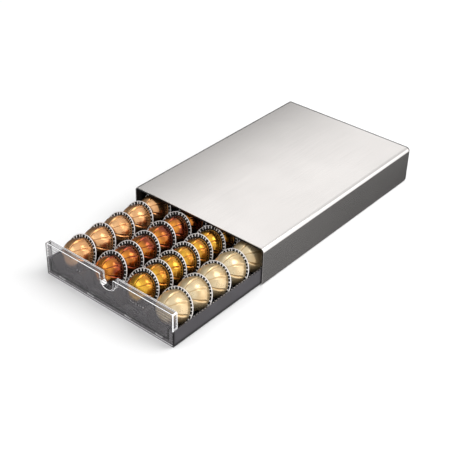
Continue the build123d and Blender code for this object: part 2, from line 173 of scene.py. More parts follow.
class Board:
    """The node tree of one material or world while it is wired."""

    def __init__(self, tree: bpy.types.NodeTree) -> None:
        """Start on an empty tree.

        Args:
            tree: the tree to wire.
        """
        self.tree = tree
        self.tree.nodes.clear()
        self._place: bpy.types.Node | None = None

    @classmethod
    def for_material(cls, name: str) -> tuple["Board", bpy.types.Material]:
        """Open a new material's board.

        Args:
            name: the material's name.

        Returns:
            The board and its material.
        """
        material = bpy.data.materials.new(name)
        material.use_nodes = True
        return cls(material.node_tree), material

    def node(
        self, kind: str, settings: dict | None = None, feeds: dict | None = None
    ) -> bpy.types.Node:
        """Add any node.

        Args:
            kind: the node's type name.
            settings: properties set before its sockets.
            feeds: socket name or index to a value or a link.

        Returns:
            The new node.
        """
        node = self.tree.nodes.new(kind)
        for name, value in (settings or {}).items():
            setattr(node, name, value)
        for name, value in (feeds or {}).items():
            self.feed(node.inputs[name], value)
        return node

    def feed(self, socket: bpy.types.NodeSocket, value: Fed) -> None:
        """Give an input socket a link or a constant.

        Args:
            socket: the input socket.
            value: a signal, an output socket, a number, a colour or a vector.
        """
        if isinstance(value, Signal):
            self.tree.links.new(value.socket, socket)
        elif isinstance(value, bpy.types.NodeSocket):
            self.tree.links.new(value, socket)
        elif socket.type == "RGBA":
            socket.default_value = (*value, 1.0)
        else:
            socket.default_value = value

    def maths(self, operation: str, first: "Signal | float", second: "Signal | float") -> Signal:
        """Add a Math node for two numbers."""
        node = self.node("ShaderNodeMath", {"operation": operation}, {0: first, 1: second})
        return Signal(self, node.outputs[0])

    def place(self) -> bpy.types.NodeSocket:
        """The Object coordinates, which are the part's own frame.

        Returns:
            Their output socket.
        """
        if self._place is None:
            self._place = self.node("ShaderNodeTexCoord")
        return self._place.outputs["Object"]

    def axes(self, vector: bpy.types.NodeSocket | None = None) -> tuple[Signal, Signal, Signal]:
        """Part a vector into three numbers.

        Args:
            vector: an output socket, or nothing for the Object coordinates.

        Returns:
            The X, Y and Z numbers.
        """
        source = self.place() if vector is None else vector
        split = self.node("ShaderNodeSeparateXYZ", feeds={0: source})
        return tuple(Signal(self, split.outputs[i]) for i in range(3))

    def stored(self, name: str) -> Signal:
        """A number that the mesh carries at its points."""
        node = self.node("ShaderNodeAttribute", {"attribute_name": name})
        return Signal(self, node.outputs["Fac"])

    def noise(self, scale: float, stretch: Triple = (1.0, 1.0, 1.0), detail: float = 3.0) -> Signal:
        """Soft noise in the part's frame.

        Args:
            scale: features in a metre.
            stretch: factor along each axis.
            detail: octaves.

        Returns:
            A number around 0.5.
        """
        mapped = self.node("ShaderNodeMapping", feeds={"Vector": self.place(), "Scale": stretch})
        node = self.node(
            "ShaderNodeTexNoise",
            feeds={"Vector": mapped.outputs[0], "Scale": scale, "Detail": detail},
        )
        return Signal(self, node.outputs["Fac"])

    def blend(self, share: "Signal | float", first: Fed, second: Fed) -> bpy.types.NodeSocket:
        """Mix two colours.

        Args:
            share: how much of the second colour.
            first: a colour or a colour link.
            second: a colour or a colour link.

        Returns:
            The mixed colour.
        """
        node = self.node("ShaderNodeMix", {"data_type": "RGBA"}, {0: share, 6: first, 7: second})
        return node.outputs[2]

    def relief(self, height: Signal, depth: float, strength: float) -> bpy.types.NodeSocket:
        """Turn a height into a bumped normal.

        Args:
            height: from 0 to 1.
            depth: metres from 0 to 1.
            strength: share of the effect.

        Returns:
            The normal.
        """
        node = self.node(
            "ShaderNodeBump", feeds={"Height": height, "Distance": depth, "Strength": strength}
        )
        return node.outputs[0]

    def surface(self, feeds: dict) -> None:
        """Finish with a Principled surface.

        Args:
            feeds: socket name to a value or a link.
        """
        shader = self.node("ShaderNodeBsdfPrincipled", feeds=feeds)
        self.node("ShaderNodeOutputMaterial", feeds={0: shader.outputs[0]})


# ---------------------------------------------------------------- finishes
def tinted(colour: Colour, factor: float, lift: float = 0.0) -> Colour:
    """Make a colour darker or lighter.

    Args:
        colour: the colour to start from.
        factor: what each channel is multiplied by.
        lift: what is then added to it.

    Returns:
        The new colour, no brighter than white.
    """
    return tuple(min(1.0, channel * factor + lift) for channel in colour)


@dataclass(frozen=True)
class Finish:
    """A named finish, which wires its own board."""

    name: str

    def make(self) -> bpy.types.Material:
        """Wire the finish on a new board.

        Returns:
            Its material.
        """
        board, material = Board.for_material(self.name)
        self.wire(board)
        return material

    def wire(self, board: Board) -> None:
        """Each kind of finish wires the board in its own way.

        Args:
            board: the material's board.
        """
        raise NotImplementedError(self.name)


@dataclass(frozen=True)
class SatinSteel(Finish):
    """Stainless sheet with a fine directional grain."""

    name: str = "satin_steel"
    colour: Colour = (0.66, 0.635, 0.618)
    roughness: float = 0.17
    grain: float = 900.0
    grain_stretch: Triple = (1.0, 0.02, 1.0)
    cloud: float = 9.0

    def wire(self, board: Board) -> None:
        """Draw the grain along the sheet and cloud its colour and gloss.

        Args:
            board: the material's board.
        """
        grain = board.noise(self.grain, self.grain_stretch, 2.0)
        cloud = board.noise(self.cloud, detail=2.0)
        tone = cloud.over(0.35, 0.65) * 0.5 + grain * 0.3
        board.surface({
            "Base Color": board.blend(tone, self.colour, tinted(self.colour, 0.94)),
            "Metallic": 1.0,
            "Roughness": grain * 0.06 + cloud * 0.04 + (self.roughness - 0.05),
            "Normal": board.relief(grain, 0.00001, 0.35),
        })


@dataclass(frozen=True)
class Moulding(Finish):
    """Moulded plastic with a spark-eroded texture and painted shade below its foot and ahead of its
    front.
    """

    colour: Colour
    roughness: float
    texture: float = 2600.0
    depth: float = 0.00002
    specular: float = 0.5
    foot: float = -1.0
    foot_fade: float = 0.0012
    front: float = -9.0
    front_fade: float = 0.003
    least: float = 0.15
    dark: Colour = (0.004, 0.004, 0.004)

    def wire(self, board: Board) -> None:
        """Roughen the skin, lighten it where it wears and paint shade on its foot and front.

        Args:
            board: the material's board.
        """
        _, along, height = board.axes()
        pits = board.noise(self.texture, detail=2.0)
        wear = board.noise(35.0, detail=4.0)
        share = wear.over(0.45, 0.75) * 0.35 + pits * 0.15
        paint = board.blend(share, self.colour, tinted(self.colour, 1.5, 0.006))
        # Painted shade: the colour falls to the dark colour below the foot and ahead of the front.
        above = height.over(self.foot, self.foot + self.foot_fade)
        behind = along.over(self.front, self.front + self.front_fade)
        clean = above * behind * (1.0 - self.least) + self.least
        board.surface({
            "Base Color": board.blend(clean, self.dark, paint),
            "Roughness": wear * 0.10 + pits * 0.08 + (self.roughness - 0.09),
            "Specular IOR Level": self.specular,
            "Normal": board.relief(pits, self.depth, 0.5),
        })


@dataclass(frozen=True)
class ClearMoulding(Finish):
    """Clear plastic, with fine dark ribs moulded into the sheet and a painted shadow line along its
    border.
    """

    colour: Colour
    veil: float
    ribs: float = 0.0
    rib_pitch: float = 0.0048
    rib_tint: float = 0.25
    border: float = 0.0
    border_half: float = 0.118
    border_foot: float = 0.0115
    border_top: float = 0.0285
    shadow_line_colour: Colour = (0.008, 0.008, 0.009)
    line: float = 0.0021
    backing: float = 0.0
    backing_fade: float = 0.0008
    gloss: float = 0.5
    glow: float = 0.0

    def wire(self, board: Board) -> None:
        """Cloud the plastic and draw the ribs, the painted shadow line of the border and what lies
        behind its rim.

        Args:
            board: the material's board.
        """
        across, _, height = board.axes()
        aside = abs(across)
        haze = board.noise(22.0, detail=3.0)
        ribs = (height * (2 * math.pi / self.rib_pitch)).sine().over(-0.2, 0.9) * self.ribs
        # Painted shadow: dark lines along the border, standing in for the gap above the tray's lip
        # that shows through the sheet.
        lines = board.maths("MAXIMUM", *self.shadow_lines(aside, height)) * self.border
        dark = board.maths("MAXIMUM", ribs, lines)
        inside = height.over(self.border_foot - self.backing_fade, self.border_foot)
        inside = inside * (1.0 - aside.over(self.border_half, self.border_half + self.backing_fade))
        below = 1.0 - height.over(self.border_top, self.border_top + self.backing_fade)
        backed = (1.0 - inside) * below * self.backing
        ribbed = board.blend(dark.over(0.0, 0.12), self.colour, tinted(self.colour, self.rib_tint))
        board.surface({
            "Base Color": board.blend(lines.over(0.0, 0.3), ribbed, self.shadow_line_colour),
            "Alpha": dark + backed + haze * 0.04 + (self.veil - 0.02),
            "Emission Color": (1.0, 1.0, 1.0),
            "Emission Strength": self.glow,
            "Roughness": haze * 0.05 + 0.06,
            "Specular IOR Level": self.gloss,
        })

    def shadow_lines(self, aside: Signal, height: Signal) -> tuple[Signal, Signal]:
        """The painted shadow line along the foot and up both sides.

        Args:
            aside: distance from the middle plane, in metres.
            height: height in metres.

        Returns:
            The foot's line and the upright lines, each 1 on the line and 0 beside it.
        """
        foot = self.near(height, self.border_foot)
        foot = foot * (1.0 - aside.over(self.border_half, self.border_half + self.line))
        upright = self.near(aside, self.border_half)
        upright = upright * height.over(self.border_foot - self.line, self.border_foot)
        upright = upright * (1.0 - height.over(self.border_top, self.border_top + self.line))
        return foot, upright

    def near(self, value: Signal, middle: float) -> Signal:
        """A soft line, 1 where a value is close to a middle."""
        return 1.0 - abs(value - middle).over(self.line * 0.5, self.line)


@dataclass(frozen=True)
class FoilLacquer(Finish):
    """Coloured lacquer over pressed aluminium, with painted shade in its creases and at the dome's
    foot.
    """

    colour: Colour
    deep: Colour
    roughness: float = 0.24
    metallic: float = 0.96
    # Shares of the painted shade at the dome's foot and along its creases.
    shade_at_foot: float = 0.6
    shade_in_crease: float = 0.9
    coat: float = 0.25
    coat_roughness: float = 0.08

    def wire(self, board: Board) -> None:
        """Cloud the lacquer and paint shade into it by the numbers that the mesh carries.

        Args:
            board: the material's board.
        """
        cloud = board.noise(60.0, detail=3.0)
        fine = board.noise(700.0, detail=2.0)
        # Painted shade: the deep colour towards the dome's foot and along its creases.
        foot = board.stored("reach").over(0.55, 1.0)
        share = cloud.over(0.38, 0.68) * 0.4 + foot * self.shade_at_foot
        share = share + board.stored("crease") * self.shade_in_crease
        share = board.maths("MINIMUM", share, 1.0)
        board.surface({
            "Base Color": board.blend(share, self.colour, self.deep),
            "Metallic": self.metallic,
            "Roughness": cloud * 0.08 + fine * 0.05 + (self.roughness - 0.06),
            "Coat Weight": self.coat,
            "Coat Roughness": self.coat_roughness,
            "Normal": board.relief(cloud + fine * 0.1, 0.00025, 0.35),
        })


@dataclass(frozen=True)
class PlainFoil(Finish):
    """Uncoloured aluminium: a pod's rolled rim or its crinkled lid."""

    colour: Colour
    roughness: float
    crinkle: float
    metallic: float = 0.9

    def wire(self, board: Board) -> None:
        """Crinkle the foil and darken its folds.

        Args:
            board: the material's board.
        """
        folds = board.noise(240.0, detail=4.0)
        board.surface({
            "Base Color": board.blend(folds, self.colour, tinted(self.colour, 0.88)),
            "Metallic": self.metallic,
            "Roughness": folds * 0.12 + (self.roughness - 0.06),
            "Normal": board.relief(folds, self.crinkle, 0.6),
        })


@dataclass(frozen=True)
class Ink(Finish):
    """Printed ring on a pod's flange, black or pale."""

    colour: Colour
    roughness: float = 0.42
    specular: float = 0.15

    def wire(self, board: Board) -> None:
        """Speckle the print.

        Args:
            board: the material's board.
        """
        specks = board.noise(1400.0, detail=2.0)
        board.surface({
            "Base Color": board.blend(specks, self.colour, tinted(self.colour, 1.25, 0.01)),
            "Roughness": specks * 0.1 + (self.roughness - 0.05),
            "Specular IOR Level": self.specular,
            "Normal": board.relief(specks, 0.00002, 0.3),
        })


@dataclass(frozen=True)
class Rubber(Finish):
    """Soft black rubber with a dusty bloom."""

    name: str = "rubber"
    colour: Colour = (0.018, 0.018, 0.019)
    dusty: Colour = (0.06, 0.06, 0.062)
    roughness: float = 0.72

    def wire(self, board: Board) -> None:
        """Dust the rubber unevenly.

        Args:
            board: the material's board.
        """
        bloom = board.noise(320.0, detail=4.0)
        board.surface({
            "Base Color": board.blend(bloom * 0.6, self.colour, self.dusty),
            "Roughness": bloom * 0.15 + self.roughness,
            "Normal": board.relief(bloom, 0.00005, 0.5),
        })


@dataclass(frozen=True)
class ZincSteel(Finish):
    """Zinc-plated screws."""

    name: str = "zinc_steel"
    colour: Colour = (0.52, 0.53, 0.56)
    yellowed: Colour = (0.42, 0.41, 0.36)
    roughness: float = 0.25

    def wire(self, board: Board) -> None:
        """Spangle the plating.

        Args:
            board: the material's board.
        """
        spangle = board.noise(900.0, detail=3.0)
        board.surface({
            "Base Color": board.blend(spangle, self.colour, self.yellowed),
            "Metallic": 1.0,
            "Roughness": spangle * 0.2 + self.roughness,
            "Normal": board.relief(spangle, 0.00002, 0.4),
        })


@dataclass(frozen=True)
class StudioPaper(Finish):
    """The pale sheet that the drawer stands on, with a faint glow away from the drawer."""

    name: str = "studio_paper"
    colour: Colour = (0.93, 0.93, 0.93)
    fibre_colour: Colour = (0.9, 0.9, 0.9)
    glow: float = 0.10
    glow_from: float = 0.45
    glow_full: float = 1.3

    def wire(self, board: Board) -> None:
        """Lay the fibres and fade the glow in with the distance from the middle.

        Args:
            board: the material's board.
        """
        fibre = board.noise(400.0, detail=3.0)
        x, y, _ = board.axes()
        away = ((x * x + y * y) ** 0.5).over(self.glow_from, self.glow_full)
        board.surface({
            "Base Color": board.blend(fibre * 0.2, self.colour, self.fibre_colour),
            "Roughness": 0.9,
            "Specular IOR Level": 0.1,
            "Emission Color": board.blend(away, (0.0, 0.0, 0.0), (1.0, 1.0, 1.0)),
            "Emission Strength": self.glow,
        })


class Palette:
    """Makes each finish once and hands out its material."""

    def __init__(self) -> None:
        """Start with no finish made."""
        self._made: dict[str, bpy.types.Material] = {}

    def get(self, finish: Finish) -> bpy.types.Material:
        """The material of a finish.

        Args:
            finish: any finish.

        Returns:
            Its material, made on first use.
        """
        if finish.name not in self._made:
            self._made[finish.name] = finish.make()
        return self._made[finish.name]


# ---------------------------------------------------------------- the bench
class Bench:
    """One mesh under work, shaped in edit mode with places picked in code."""

    def __init__(self, obj: bpy.types.Object) -> None:
        """Take an object onto the bench.

        Args:
            obj: a mesh object.
        """
        self.obj = obj

    @staticmethod
    def clear() -> None:
        """Leave edit mode and deselect everything."""
        if bpy.context.object and bpy.context.object.mode != "OBJECT":
            bpy.ops.object.mode_set(mode="OBJECT")
        bpy.ops.object.select_all(action="DESELECT")

    @classmethod
    def cube(cls, name: str, low: Vector, high: Vector) -> "Bench":
        """Start from a cube stretched between two corners.

        Args:
            name: the piece's name.
            low: lowest corner.
            high: highest corner.

        Returns:
            The bench with the new piece.
        """
        cls.clear()
        bpy.ops.mesh.primitive_cube_add(size=1.0, location=(low + high) / 2, scale=high - low)
        bpy.ops.object.transform_apply(location=True, rotation=True, scale=True)
        return cls._named(name)

    @classmethod
    def lathe(cls, name: str, outline: list[Pair], steps: int) -> "Bench":
        """Trace an outline point by point and spin it about Z.

        Args:
            name: the piece's name.
            outline: radius and height of each point, in millimetres.
            steps: facets round the axis.

        Returns:
            The bench with the closed shape.
        """
        cls.clear()
        bpy.ops.mesh.primitive_circle_add(vertices=3, radius=1.0, location=(0, 0, 0))
        bench = cls._named(name)
        with bench.edit():
            bench.pick(Domain.POINTS, lambda place, _: place.y > 0.5)
            bpy.ops.mesh.select_all(action="INVERT")
            bpy.ops.mesh.delete(type="VERT")
            bpy.ops.mesh.select_all(action="SELECT")
            radius, height = outline[0]
            bpy.ops.transform.translate(value=(radius * MM, -1.0, height * MM))
            for (r0, z0), (r1, z1) in zip(outline, outline[1:]):
                bpy.ops.mesh.extrude_region_move(
                    TRANSFORM_OT_translate={"value": ((r1 - r0) * MM, 0, (z1 - z0) * MM)}
                )
            bpy.ops.mesh.select_all(action="SELECT")
            bpy.ops.mesh.spin(
                steps=steps, angle=2 * math.pi, center=(0, 0, 0), axis=(0, 0, 1), dupli=False
            )
            bpy.ops.mesh.select_all(action="SELECT")
            bpy.ops.mesh.remove_doubles(threshold=2e-6)
            bpy.ops.mesh.normals_make_consistent(inside=False)
        return bench

    @classmethod
    def from_node(cls, name: str, node: str) -> "Bench":
        """Copy a frame node, merge its loose triangles and clean its flat faces.

        Args:
            name: the piece's name.
            node: the frame node's name.

        Returns:
            The bench with the merged copy.
        """
        copy = bpy.data.objects.new(name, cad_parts[node].data.copy())
        copy.data.name = name
        copy.data.materials.clear()
        bpy.context.scene.collection.objects.link(copy)
        bench = cls(copy)
        bench.activate()
        if copy.data.has_custom_normals:
            bpy.ops.mesh.customdata_custom_splitnormals_clear()
        with bench.edit():
            bpy.ops.mesh.select_all(action="SELECT")
            bpy.ops.mesh.remove_doubles(threshold=1e-6)
            bpy.ops.mesh.dissolve_limited(angle_limit=math.radians(0.5))
        return bench

    @classmethod
    def _named(cls, name: str) -> "Bench":
        """Name the active object and its mesh.

        Args:
            name: the piece's name.

        Returns:
            The bench with that object.
        """
        obj = bpy.context.object
        obj.name = name
        obj.data.name = name
        return cls(obj)

    def activate(self) -> None:
        """Select the piece alone and make it the active object."""
        self.clear()
        self.obj.select_set(True)
        bpy.context.view_layer.objects.active = self.obj

    @contextmanager
    def edit(self) -> Iterator[None]:
        """Work in edit mode for the length of a with block."""
        self.activate()
        bpy.ops.object.mode_set(mode="EDIT")
        yield
        bpy.ops.object.mode_set(mode="OBJECT")

    def pick(self, domain: Domain, test: Test, slot: int | None = None) -> None:
        """Select by place and normal, in edit mode.

        Args:
            domain: points, edges or faces.
            test: takes a centre and a normal (an edge's direction) and says whether to select.
            slot: the only material slot whose faces are selected, or nothing for all.
        """
        bpy.ops.mesh.select_mode(type=domain.value)
        bpy.ops.mesh.select_all(action="DESELECT")
        mesh = bmesh.from_edit_mesh(self.obj.data)
        if domain is Domain.POINTS:
            for point in mesh.verts:
                point.select_set(bool(test(point.co, point.normal)))
        elif domain is Domain.EDGES:
            for edge in mesh.edges:
                start, end = (point.co for point in edge.verts)
                edge.select_set(bool(test((start + end) / 2, (end - start).normalized())))
        else:
            for face in mesh.faces:
                wanted = slot in (None, face.material_index)
                face.select_set(bool(wanted and test(face.calc_center_median(), face.normal)))
        bmesh.update_edit_mesh(self.obj.data)

    def assign(self, slot: int) -> None:
        """Put the selected faces into a material slot, in edit mode."""
        self.obj.active_material_index = slot
        bpy.ops.object.material_slot_assign()

    def paint(self, slot: int, test: Test) -> None:
        """Put the faces that pass a test into a material slot, in edit mode."""
        self.pick(Domain.FACES, test)
        self.assign(slot)

    def coat(self, palette: Palette, *finishes: Finish) -> None:
        """Give the piece its material slots.

        Args:
            palette: makes the materials.
            finishes: one for each slot, in order.
        """
        self.obj.data.materials.clear()
        for finish in finishes:
            self.obj.data.materials.append(palette.get(finish))

    def soften(
        self, width: float, segments: int = 2, sharper_than: float = 30.0, slot: int = -1
    ) -> None:
        """Bevel every sharp edge.

        Args:
            width: bevel width in millimetres.
            segments: facets across the bevel.
            sharper_than: least angle of an edge, in degrees.
            slot: material slot of the bevels, or -1 for their neighbours' own.
        """
        with self.edit():
            bpy.ops.mesh.select_mode(type="EDGE")
            bpy.ops.mesh.select_all(action="DESELECT")
            bpy.ops.mesh.edges_select_sharp(sharpness=math.radians(sharper_than))
            bpy.ops.mesh.bevel(
                offset=width * MM,
                segments=segments,
                affect="EDGES",
                clamp_overlap=True,
                material=slot,
            )

    def smooth(self, angle: float = 35.0, flat: bool = True) -> None:
        """Shade smooth below an angle.

        Args:
            angle: in degrees.
            flat: whether large flat faces keep their own normals beside small ones.
        """
        self.activate()
        bpy.ops.object.shade_smooth_by_angle(angle=math.radians(angle))
        if flat:
            self.apply("WEIGHTED_NORMAL", mode="FACE_AREA", weight=100, keep_sharp=True)

    def apply(self, kind: str, **settings: object) -> None:
        """Add a modifier and apply it.

        Args:
            kind: the modifier's type.
            settings: its properties.
        """
        self.activate()
        modifier = self.obj.modifiers.new(kind.lower(), kind)
        for name, value in settings.items():
            setattr(modifier, name, value)
        bpy.ops.object.modifier_apply(modifier=modifier.name)

    def fit(self, body: Body, slot: str, *nodes: str) -> None:
        """Hand the piece to the frame.

        Args:
            body: the body it rides on.
            slot: the record's material slot; not used.
            nodes: frame nodes that it stands for.
        """
        self.clear()
        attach(self.obj, body.value)
        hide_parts(*nodes)
        LOG.info("%s: %d faces", self.obj.name, len(self.obj.data.polygons))


def dress(node: str, material: bpy.types.Material) -> None:
    """Give a frame node its finish.

    Args:
        node: the node's name.
        material: its material.
    """
    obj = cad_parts[node]
    obj.data.materials.clear()
    obj.data.materials.append(material)
    LOG.info("%s: dressed in %s", node, material.name)


# ---------------------------------------------------------------- housing
@dataclass
class Housing:
    """Steel sleeve, black liner, base, rear panel and what they carry; sizes in millimetres."""

    palette: Palette
    corner: float = 6.5
    corner_steps: int = 14
    sheet: float = 1.0
    burr: float = 0.2
    end_zone: float = 0.1
    lip_round: float = 0.25
    steel: Finish = SatinSteel()
    black: Finish = Moulding("black_moulding", (0.010, 0.010, 0.011), 0.36)
    base_paint: Finish = Moulding("base_paint", (0.016, 0.016, 0.017), 0.5, 1500.0, 0.00004)
    rail: Finish = Moulding("rail_plastic", (0.05, 0.05, 0.053), 0.45)
    rubber: Finish = Rubber()
    zinc: Finish = ZincSteel()

    def build(self) -> None:
        """Make the sleeve and the liner and dress the rest."""
        self.sleeve()
        self.liner()
        dressed = {
            "base_plate": self.base_paint,
            "rear_panel": self.black,
            "feet": self.rubber,
            "rear_bumpers": self.rubber,
            "housing_screws": self.zinc,
            "travel_stops": self.black,
            "left_rail": self.rail,
            "right_rail": self.rail,
        }
        for node, finish in dressed.items():
            dress(node, self.palette.get(finish))

    def sleeve(self) -> None:
        """Fold the steel sleeve: two rounded corners along its length and thin edges."""
        low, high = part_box("outer_sleeve")
        front, back = low.y + self.end_zone * MM, high.y - self.end_zone * MM
        bench = Bench.cube("steel_sleeve", low, high)
        with bench.edit():
            bench.pick(Domain.FACES, lambda _, face: abs(face.y) > ALONG or face.z < -ALONG)
            bpy.ops.mesh.delete(type="FACE")
            bench.pick(
                Domain.EDGES,
                lambda place, along: abs(along.y) > ALONG and place.z > high.z - MM,
            )
            bpy.ops.mesh.bevel(
                offset=self.corner * MM, segments=self.corner_steps, affect="EDGES"
            )
            bpy.ops.mesh.select_all(action="SELECT")
            bpy.ops.mesh.normals_make_consistent(inside=False)
        bench.apply("SOLIDIFY", thickness=self.sheet * MM, offset=-1.0, use_even_offset=True)
        with bench.edit():
            bench.pick(
                Domain.EDGES,
                lambda place, along: abs(along.y) < ACROSS and (place.y < front or place.y > back),
            )
            bpy.ops.mesh.bevel(
                offset=self.burr * MM, segments=2, affect="EDGES", clamp_overlap=True
            )
        bench.coat(self.palette, self.steel)
        bench.smooth(40.0)
        bench.fit(Body.HOUSING, "stainless", "outer_sleeve")

    def liner(self) -> None:
        """Soften the black liner's edges, so that its lip catches light at the mouth."""
        bench = Bench.from_node("black_liner", "inner_liner")
        bench.soften(self.lip_round)
        bench.coat(self.palette, self.black)
        bench.smooth()
        bench.fit(Body.HOUSING, "black_moulding", "inner_liner")


# ---------------------------------------------------------------- drawer
@dataclass
class Tray:
    """The sliding tray, its rack and its glides; sizes in millimetres."""

    palette: Palette
    shell_round: float = 0.25
    rack_round: float = 0.3
    tooth_top: float = 26.4
    tooth_edge: float = 0.4
    tooth_slope: float = 0.2
    first_tooth: float = -370.0
    # The shell gets painted shade along its foot and at its front end, beside the clear front.
    shell: Finish = Moulding(
        "tray_moulding", (0.053, 0.049, 0.055), 0.42, foot=0.0055, front=-0.3925
    )
    rack: Finish = Moulding("rack_moulding", (0.008, 0.008, 0.009), 0.34, 3000.0, 0.000006, 0.3)
    # Painted highlight: a pale moulding for the teeth's upper edges.
    rack_edge: Finish = Moulding("rack_edge", (0.30, 0.29, 0.29), 0.3, 3000.0, 0.000006)
    glide: Finish = Moulding("glide_plastic", (0.1, 0.1, 0.105), 0.4)

    def build(self) -> None:
        """Make the tray and its rack and dress the glides."""
        bench = Bench.from_node("tray_shell", "drawer_tray")
        bench.soften(self.shell_round)
        bench.coat(self.palette, self.shell)
        bench.smooth()
        bench.fit(Body.DRAWER, "grey_moulding", "drawer_tray")
        bench = Bench.from_node("toothed_rack", "pod_rack")
        bench.coat(self.palette, self.rack, self.rack_edge)
        bench.soften(self.rack_round, segments=1)
        with bench.edit():
            # Painted highlight on the teeth's upper edges.
            bench.paint(RackCoat.TOOTH, self.on_tooth)
        bench.smooth()
        bench.fit(Body.DRAWER, "black_gloss", "pod_rack")
        dress("left_glide", self.palette.get(self.glide))
        dress("right_glide", self.palette.get(self.glide))

    def on_tooth(self, place: Vector, face: Vector) -> bool:
        """Whether a face is a tooth's upper edge, behind the rack's front wall."""
        high = place.z > (self.tooth_top - self.tooth_edge) * MM
        return high and face.z > self.tooth_slope and place.y > self.first_tooth * MM


@dataclass
class FrontPanel:
    """The clear front with its finger notch and turned-back rim; sizes in millimetres.

    A zone of the notch is given as its half width, its foot and its top.
    """

    palette: Palette
    edge_round: float = 0.4
    glow_width: float = 0.5
    shade_width: float = 0.6
    end_shade: float = 1.6
    far_end_shade: float = 2.8
    end_front: float = -392.5
    end_back: float = -386.5
    end_top: float = 56.0
    top: float = 58.0
    tray_top: float = 28.5
    notch_half: float = 14.5
    notch_trim: float = 1.5
    notch_zone: Triple = (17.1, 33.0, 54.9)
    curve_zone: Triple = (15.4, 33.0, 52.0)
    curve_middle: float = 37.0
    curve_drop: float = 0.8
    gleam_zone: Triple = (14.5, 35.5, 46.0)
    gleam_front: float = -393.5
    gleam_from: float = 0.45
    gleam_to: float = 0.93
    curve_shade: float = 0.8
    lead_in: float = 3.0
    lead_in_share: float = 0.4
    lead_in_ring: Pair = (2.5, 3.1)
    lead_in_core: float = 1.0
    slack: float = 0.1
    # The sheet carries the painted shadow lines along its border.
    sheet: Finish = ClearMoulding(
        "clear_sheet", (0.54, 0.51, 0.54), 0.135, 0.36, border=0.8, backing=0.14
    )
    # Painted highlight: near-white glowing faces on the edges, the right end and the notch.
    edge: Finish = ClearMoulding("clear_edge", (0.99, 0.99, 1.0), 0.86, glow=0.35)
    # Painted shade: near-black faces beside the highlights, on the ends and in the notch.
    shade: Finish = ClearMoulding("clear_shade", (0.03, 0.028, 0.03), 0.85, gloss=0.2)

    def build(self) -> None:
        """Trim the notch, soften the edges and paint highlights and shade on the borders, the ends
        and the notch.
        """
        bench = Bench.from_node("clear_front", "front_panel")
        self.trim_notch(bench)
        bench.coat(self.palette, self.sheet, self.edge, self.shade)
        # The bevels get the painted highlight.
        bench.soften(self.edge_round, slot=PanelCoat.EDGE)
        with bench.edit():
            self.part_borders(bench)
            self.paint_ends(bench)
            # Painted highlight on the notch's curved faces turned to the right, painted shade on
            # those that face up.
            bench.paint(
                PanelCoat.EDGE,
                lambda place, face: self.on_curve(place)
                and self.gleam_from < face.x < self.gleam_to,
            )
            bench.paint(
                PanelCoat.SHADE,
                lambda place, face: self.on_curve(place) and face.z > self.curve_shade,
            )
        bench.smooth()
        bench.fit(Body.DRAWER, "clear_plastic", "front_panel")

    def part_borders(self, bench: Bench) -> None:
        """Lay a painted highlight line and a painted shade line inside each face's border, in edit
        mode.

        Args:
            bench: the panel.
        """
        bench.pick(Domain.FACES, lambda *_: True, PanelCoat.SHEET)
        bpy.ops.mesh.inset(thickness=self.glow_width * MM, use_even_offset=False)
        bpy.ops.mesh.select_all(action="INVERT")
        bench.assign(PanelCoat.EDGE)
        bench.pick(Domain.FACES, lambda _, face: face.y < ALONG, PanelCoat.SHEET)
        bench.assign(PanelCoat.SHADE)
        bpy.ops.mesh.inset(thickness=self.shade_width * MM, use_even_offset=False)
        bench.assign(PanelCoat.SHEET)

    def paint_ends(self, bench: Bench) -> None:
        """Paint shade on the left end, a highlight on the right end and shade on its outer strip
        below the tray's top, in edit mode.

        Args:
            bench: the panel.
        """
        low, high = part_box("front_panel")
        left, right = low.x + self.far_end_shade * MM, high.x - self.end_shade * MM
        below = self.tray_top * MM
        # Painted shade on the left end.
        bench.paint(
            PanelCoat.SHADE, lambda place, face: place.x < left and not self.in_end(place, face)
        )
        bench.pick(Domain.FACES, lambda place, _: place.x > right)
        bpy.ops.mesh.bisect(plane_co=(0, 0, below), plane_no=(0, 0, 1))
        # Painted highlight on the right end, then painted shade on its outer strip below the tray's
        # top.
        bench.paint(
            PanelCoat.EDGE, lambda place, face: place.x > right and not self.in_end(place, face)
        )
        bench.paint(
            PanelCoat.SHADE,
            lambda place, _: place.x > right + self.shade_width * MM and place.z < below,
        )

    def in_end(self, place: Vector, face: Vector) -> bool:
        """Whether a face is the broad middle of the rim's end."""
        deep = self.end_front * MM < place.y < self.end_back * MM
        return abs(face.x) > ALONG and deep and place.z < self.end_top * MM

    def on_curve(self, place: Vector) -> bool:
        """Whether a place lies on the notch's rounded bottom."""
        return self.within(self.gleam_zone, place) and place.y > self.gleam_front * MM

    @staticmethod
    def within(zone: Triple, place: Vector) -> bool:
        """Whether a place lies in a zone of the notch."""
        half, foot, top = (size * MM for size in zone)
        return abs(place.x) < half and foot < place.z < top

    def trim_notch(self, bench: Bench) -> None:
        """Draw the finger notch in to its narrower width and its small lead-in.

        Args:
            bench: the panel.
        """
        share = 1.0 - self.notch_trim / self.notch_half
        with bench.edit():
            bench.pick(Domain.POINTS, lambda place, _: self.within(self.notch_zone, place))
            bpy.ops.transform.resize(value=(share, 1, 1), center_override=(0, 0, 0))
            bench.pick(Domain.POINTS, lambda place, _: self.within(self.curve_zone, place))
            bpy.ops.transform.resize(
                value=(1, 1, share), center_override=(0, 0, self.curve_middle * MM)
            )
            bpy.ops.transform.translate(value=(0, 0, -self.curve_drop * MM))
            for side in (-1, 1):
                self.trim_lead_in(bench, side)

    def trim_lead_in(self, bench: Bench, side: int) -> None:
        """Make one lead-in smaller and move it to the narrower notch, in edit mode.

        Args:
            bench: the panel.
            side: -1 for the left one and 1 for the right one.
        """
        centre = Vector((side * (self.notch_half + self.lead_in), 0, self.top - self.lead_in)) * MM
        inner, outer = self.lead_in_ring
        slack = self.slack * MM

